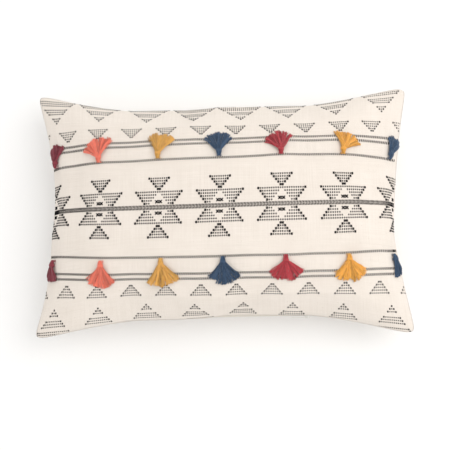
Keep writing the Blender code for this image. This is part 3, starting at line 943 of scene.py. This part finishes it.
def named(tree, name, kind):
    return add_node(tree, "GeometryNodeInputNamedAttribute", {"data_type": kind}, {"Name": name})


def store(tree, geometry, name, value):
    values = {"Geometry": geometry, "Name": name, "Value": value}
    settings = {"data_type": "FLOAT", "domain": "POINT"}
    return add_node(tree, "GeometryNodeStoreNamedAttribute", settings, values)


def run_tree(obj, tree, material, sides):
    """Runs the tree on the object and keeps the plain mesh, with this material alone."""
    modifier = obj.modifiers.new("Nodes", "NODES")
    modifier.node_group = tree
    for item in tree.interface.items_tree:
        if item.name == "Sides":
            modifier[item.identifier] = sides
    settled(obj)
    obj.data.materials.clear()
    obj.data.materials.append(material)
    return obj


def float_tree(material):
    """Sets one short thread on each point, turned and scaled by the point's own values."""
    tree, source, target = geometry_tree("thread_floats")
    side_count = Wire(tree, source.outputs["Sides"])
    values = {"Segments": side_count, "Rings": 4, "Radius": 0.5}
    ball = add_node(tree, "GeometryNodeMeshUVSphere", {}, values)
    place = add_node(tree, "GeometryNodeInputPosition")
    parts = tree.nodes.new("ShaderNodeSeparateXYZ")
    tree.links.new(place.socket, parts.inputs[0])
    x, y, z = (Wire(tree, parts.outputs[k]) for k in range(3))
    swell = abs(z).math("GREATER_THAN", 0.1) * 0.32 + 1
    blunt = add_node(tree, "ShaderNodeCombineXYZ", {}, {0: x * swell, 1: y * swell, 2: z})
    ball = add_node(tree, "GeometryNodeSetPosition", {}, {"Geometry": ball, "Position": blunt})
    values = {"Geometry": ball, "Rotation": (0.0, math.pi / 2, 0.0)}
    lying = add_node(tree, "GeometryNodeTransform", {}, values)
    turn = add_node(tree, "FunctionNodeEulerToRotation", {}, {0: named(tree, "turn", "FLOAT_VECTOR")})
    values = {
        "Points": Wire(tree, source.outputs["Geometry"]),
        "Instance": lying,
        "Rotation": turn,
        "Scale": named(tree, "size", "FLOAT_VECTOR"),
    }
    copies = add_node(tree, "GeometryNodeInstanceOnPoints", {}, values)
    real = add_node(tree, "GeometryNodeRealizeInstances", {}, {"Geometry": copies})
    smooth = add_node(tree, "GeometryNodeSetShadeSmooth", {}, {"Geometry": real})
    done = add_node(tree, "GeometryNodeSetMaterial", {}, {"Geometry": smooth, "Material": material})
    tree.links.new(done.socket, target.inputs[0])
    return tree


def build_floats(name, floats, panel, material):
    laid = floats.on_panel()
    place, normal, along = panel.at(laid[:, 0], laid[:, 1])
    across = np.cross(normal, along)
    cos, sin = np.cos(laid[:, 4])[:, None], np.sin(laid[:, 4])[:, None]
    way, other = along * cos + across * sin, across * cos - along * sin
    thick = laid[:, 3] * 0.8
    mesh = bpy.data.meshes.new(name)
    mesh.from_pydata((place + normal * (thick[:, None] * 0.18)).tolist(), [], [])
    turns = [Matrix((a, b, c)).transposed().to_euler() for a, b, c in zip(way, other, normal)]
    sizes = np.stack([laid[:, 2], laid[:, 3], thick], -1)
    for key, values in (("turn", np.array(turns)), ("size", sizes)):
        layer = mesh.attributes.new(key, "FLOAT_VECTOR", "POINT")
        layer.data.foreach_set("vector", values.astype(np.float32).ravel())
    obj = add_object(name, mesh, material)
    return run_tree(obj, float_tree(material), material, sides=6)


# Tassels


def strand_tree(material):
    """Sweeps a round section along each polyline, with the twist's and the dye's values kept on it."""
    tree, source, target = geometry_tree("yarn_strands")
    side_count = Wire(tree, source.outputs["Sides"])
    lines = Wire(tree, source.outputs["Geometry"])
    curves = add_node(tree, "GeometryNodeMeshToCurve", {}, {"Mesh": lines})
    radius = named(tree, "thick", "FLOAT")
    curves = add_node(tree, "GeometryNodeSetCurveRadius", {}, {"Curve": curves, "Radius": radius})
    travelled = add_node(tree, "GeometryNodeSplineParameter", output=1)
    curves = store(tree, curves, "along", travelled)
    ring = add_node(tree, "GeometryNodeCurvePrimitiveCircle", {}, {"Resolution": side_count, "Radius": 1.0})
    turned = add_node(tree, "GeometryNodeSplineParameter", output=0)
    ring = store(tree, ring, "around", turned)
    values = {"Curve": curves, "Profile Curve": ring, "Fill Caps": True, "Scale": radius}
    swept = add_node(tree, "GeometryNodeCurveToMesh", {}, values)
    smooth = add_node(tree, "GeometryNodeSetShadeSmooth", {}, {"Geometry": swept})
    done = add_node(tree, "GeometryNodeSetMaterial", {}, {"Geometry": smooth, "Material": material})
    tree.links.new(done.socket, target.inputs[0])
    return tree


class Strands:
    """Polylines of yarn with a radius at each point and a tone for each line."""

    def __init__(self):
        self.points, self.edges, self.thick, self.tone = [], [], [], []

    def add(self, line, radius, tone):
        first = len(self.points)
        self.points += [tuple(point) for point in line]
        self.edges += [(first + k, first + k + 1) for k in range(len(line) - 1)]
        radii = radius if isinstance(radius, list) else [radius] * len(line)
        self.thick += radii
        self.tone += [tone] * len(line)

    def build(self, name, material):
        mesh = bpy.data.meshes.new(name)
        mesh.from_pydata(self.points, self.edges, [])
        for key, values in (("thick", self.thick), ("tone", self.tone)):
            mesh.attributes.new(key, "FLOAT", "POINT").data.foreach_set("value", values)
        obj = add_object(name, mesh, material)
        return run_tree(obj, strand_tree(material), material, sides=5)


class Ground:
    """The front cloth under a tassel, seen in the tassel's own axes."""

    def __init__(self, tree, origin, axes):
        self.tree, self.origin, self.axes = tree, origin, axes

    def place(self, x, y, z):
        bar, along, normal = self.axes
        return self.origin + bar * x + along * y + normal * z

    def height(self, x, y):
        """The cloth's height at this place, measured from the tie's bar."""
        normal = self.axes[2]
        hit = self.tree.ray_cast(self.place(x, y, MOST_LOOK), -normal, 2 * MOST_LOOK)[0]
        if hit is None:
            return -MOST_FALL
        return max(-MOST_FALL, (hit - self.origin).dot(normal))


def neck_height(ground):
    """The height of the neck's middle, measured from the tie's bar."""
    return ground.height(0, NECK_AT) + NECK_RADIUS + NECK_CLEARANCE


def fan_line(ground, dice, angle, reach, layer):
    """One strand: over the bar, down through the neck and out over the cloth."""
    spin = dice.uniform(0, 2 * math.pi)
    off = math.sqrt(dice.random())
    neck_z = neck_height(ground)
    round_x, round_z = math.cos(spin) * off, math.sin(spin) * off
    line = [
        ground.place(round_x * thin, along, neck_z * drop + high + round_z * thick)
        for thin, along, drop, high, thick in HEAD
    ]
    wave = dice.uniform(-0.05, 0.05)
    bend = dice.uniform(-0.10, 0.10)
    for k in range(1, STRAND_STEPS + 1):
        t = k / STRAND_STEPS
        turn = angle * (1.10 - 0.10 * min(1, 2.0 * t)) + bend * t * t + wave * math.sin(t * 7)
        x = round_x * NECK_RADIUS * (1 - t) + reach * t * math.sin(turn)
        y = NECK_AT + reach * t * math.cos(turn)
        cloth = ground.height(x, y)
        loft = SKIRT * layer * (1 - 0.55 * t * t) * min(1, 3.5 * t)
        start = (neck_z + round_z * NECK_RADIUS - cloth) * (1 - t) ** 5
        rise = STRAND_RADIUS + STRAND_CLEARANCE + loft + max(0, start)
        line.append(ground.place(x, y, cloth + rise))
    return line


def wound_neck(ground):
    """The yarn wound round the neck, as a helix."""
    wound = Strands()
    radius = NECK_RADIUS + WINDING_OFF
    helix = []
    for k in range(WINDING_TURNS * WINDING_STEPS + 1):
        a = 2 * math.pi * k / WINDING_STEPS
        y = NECK_AT + WINDING_WIDTH * (k / (WINDING_TURNS * WINDING_STEPS) - 0.5)
        helix.append(ground.place(radius * math.cos(a), y, neck_height(ground) + radius * math.sin(a)))
    wound.add(helix, WINDING_YARN, 0.75)
    return wound


def tie_loops(ground):
    """The stitch that holds the tassel: two loops of yarn over its eye."""
    tie = Strands()
    for side, height in TIE_LOOPS:
        loop = []
        for k in range(TIE_STEPS + 1):
            a = math.pi * k / TIE_STEPS
            rise = (TIE_HEIGHT + TIE_YARN + height) * math.sin(a) ** 0.6
            loop.append(ground.place(-TIE_SPAN * math.cos(a), side, rise - TIE_HEIGHT - TIE_YARN))
        tie.add(loop, TIE_YARN, 0.6)
    return tie


def build_tassel(name, material, cloth_tree):
    """The fan of strands with its head, and the yarn wound round the neck."""
    left, right, length = FANS[name]
    axes = tassel_axes(name)
    ground = Ground(cloth_tree, Vector(JOINTS[name]["pos_m"]), axes)
    dice = random.Random(name)
    side = 1 if name.startswith("bottom") else -1
    first, last = side * left, -side * right
    strands = Strands()
    for number in range(CLUMPS * CLUMP):
        if number % CLUMP == 0:
            clump = (number / CLUMP + dice.uniform(0.2, 0.8)) / CLUMPS
            shade, level, cut = dice.random(), dice.random(), dice.uniform(0.88, 1.04)
        share = clump + dice.uniform(-0.30, 0.30) / CLUMPS
        angle = math.radians(first + (last - first) * min(1, max(0, share)))
        reach = (length - NECK_AT) * cut * dice.uniform(0.97, 1.02)
        line = fan_line(ground, dice, angle, reach, level * 0.75 + dice.random() * 0.25)
        radius = STRAND_RADIUS * dice.uniform(0.85, 1.15)
        radii = [radius] * (len(line) - 1) + [radius * 0.8]
        strands.add(line, radii, shade * 0.7 + dice.random() * 0.3)
    fan = strands.build(name + "_yarn", material)
    band = wound_neck(ground).build(name + "_winding", material)
    stitch = tie_loops(ground).build(name + "_stitch", material)
    for piece in (fan, band):
        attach(piece, name)
    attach(stitch, "pillow")
    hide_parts(name + "_strands")
    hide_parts(name + "_binding")
    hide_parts(name + "_tie")


# Zip


def build_coil(material):
    """The coil's turns on both tapes, one small bar on each point."""
    for node in ("zip_coil_front", "zip_coil_back"):
        low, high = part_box(node)
        middle = (Vector(low) + Vector(high)) / 2
        size = Vector(high) - Vector(low)
        count = int(size[0] / COIL_PITCH)
        xs = [low[0] + COIL_PITCH * (k + 0.5) for k in range(count)]
        mesh = bpy.data.meshes.new(node + "_turns")
        mesh.from_pydata([(x, middle[1], middle[2]) for x in xs], [], [])
        scale = np.tile((size[2], size[1], COIL_PITCH * 0.82), (count, 1)).astype(np.float32)
        turn = np.tile((0.0, math.pi / 2, 0.0), (count, 1)).astype(np.float32)
        for key, values in (("turn", turn), ("size", scale)):
            mesh.attributes.new(key, "FLOAT_VECTOR", "POINT").data.foreach_set("vector", values.ravel())
        obj = add_object(node + "_turns", mesh, material)
        run_tree(obj, float_tree(material), material, sides=8)
        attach(obj, "pillow")
        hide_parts(node)


def dress_frame_nodes(metal, tape, label):
    """Procedural materials for the frame's own nodes that stay in sight."""
    dressed = dict.fromkeys(METAL_NODES, metal)
    dressed.update(zip_tape_front=tape, zip_tape_back=tape, insert_label=label)
    for node, material in dressed.items():
        mesh = frame["nodes"][node].data
        mesh.materials.clear()
        mesh.materials.append(material)


# Surroundings


def build_stage():
    """A wide pale floor, a sky of even light and one soft lamp high on the right."""
    made, tree, shader = new_material("backdrop", {"Specular IOR Level": 0.0})
    place = add_node(tree, "ShaderNodeTexCoord", output=3)
    haze = noise(tree, place, 3.0, 2.0)
    feed(
        tree,
        shader,
        base_color=mixed(tree, haze, (0.90, 0.90, 0.895), (0.915, 0.912, 0.905)),
        roughness=0.9 + haze * 0.05,
    )
    mesh = bpy.data.meshes.new("floor")
    half = FLOOR_HALF
    corners = [(-half, -half, 0), (half, -half, 0), (half, half, 0), (-half, half, 0)]
    mesh.from_pydata(corners, [], [(0, 1, 2, 3)])
    floor = add_object("floor", mesh, made)
    world = bpy.data.worlds.new("sky")
    world.use_nodes = True
    sky = world.node_tree.nodes["Background"]
    sky.inputs["Color"].default_value = (1.0, 0.995, 0.99, 1)
    sky.inputs["Strength"].default_value = SKY
    bpy.context.scene.world = world
    add_lamp()


def add_lamp():
    data = bpy.data.lights.new("key", "AREA")
    data.size = KEY_SIZE
    data.energy = KEY_POWER
    data.color = KEY_COLOUR
    lamp = bpy.data.objects.new("key", data)
    lamp.location = KEY_PLACE
    lamp.rotation_euler = (KEY_AIM - KEY_PLACE).to_track_quat("-Z", "Y").to_euler()
    bpy.context.scene.collection.objects.link(lamp)


def build_camera():
    data = bpy.data.cameras.new("camera")
    data.lens = CAMERA_LENS
    camera = bpy.data.objects.new("camera", data)
    level = math.cos(CAMERA_ELEVATION)
    side, front = level * math.sin(CAMERA_AZIMUTH), -level * math.cos(CAMERA_AZIMUTH)
    back = Vector((side, front, math.sin(CAMERA_ELEVATION)))
    up = Vector((0, 1, 0))
    up = (up - back * back.dot(up)).normalized()
    turn = Matrix((up.cross(back), up, back)).transposed().to_4x4() @ Matrix.Rotation(-CAMERA_ROLL, 4, "Z")
    camera.matrix_world = Matrix.Translation(Vector(CAMERA_AIM) + back * CAMERA_DISTANCE) @ turn
    bpy.context.scene.collection.objects.link(camera)
    bpy.context.scene.camera = camera


def build_cover():
    """Both panels and what is inside them. Returns the front panel."""
    front, back = simulated_panels()
    front, back = fit_to_frame(front, back)
    part_for_zip(front, back)
    meet_ties(front)
    front_panel, back_panel = Panel(refined(front), 1), Panel(refined(back), -1)
    cream, ticking, fibre = (cotton(name, *look) for name, look in CLOTHS.items())
    for panel, name in ((front_panel, "front_cover"), (back_panel, "back_cover")):
        cover = build_panel(name, panel, cream)
        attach(cover, "pillow")
        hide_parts("front_panel" if panel.side > 0 else "back_panel")
    insert = build_inner("insert_bag", front, back, INSERT_SHARES, ticking)
    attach(insert, "pillow")
    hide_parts("insert_front", "insert_back")
    filling = build_inner("filling", front, back, FILLING_SHARES, fibre)
    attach(filling, "pillow")
    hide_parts("fibre_fill")
    return front_panel


def build_pattern(panel):
    ink = thread_ink("black_thread")
    for name, floats in (("figure_threads", figure_floats()), ("stripe_threads", stripe_floats())):
        obj = build_floats(name, floats, panel, ink)
        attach(obj, "pillow")


def build_tassels(panel):
    points = panel.points.reshape(-1, 3)
    index = np.arange(len(points)).reshape(panel.points.shape[:2])
    tree = BVHTree.FromPolygons(points.tolist(), quad_faces(index).tolist())
    slots = {entry["node"]: entry["material_slot"] for entry in frame["record"]["subparts"]}
    dyed = {colour: yarn(colour + "_yarn", value) for colour, value in YARN.items()}
    for name in TASSELS:
        colour = slots[name + "_strands"]
        build_tassel(name, dyed[colour], tree)


def main():
    bpy.context.scene.view_settings.view_transform = "Standard"
    panel = build_cover()
    build_pattern(panel)
    build_tassels(panel)
    metal = satin_metal("plated_metal", METAL)
    build_coil(nylon("nylon_coil", NYLON))
    dress_frame_nodes(metal, tape_weave("tape", TAPE), tape_weave("ribbon", RIBBON))
    build_stage()
    build_camera()


main()
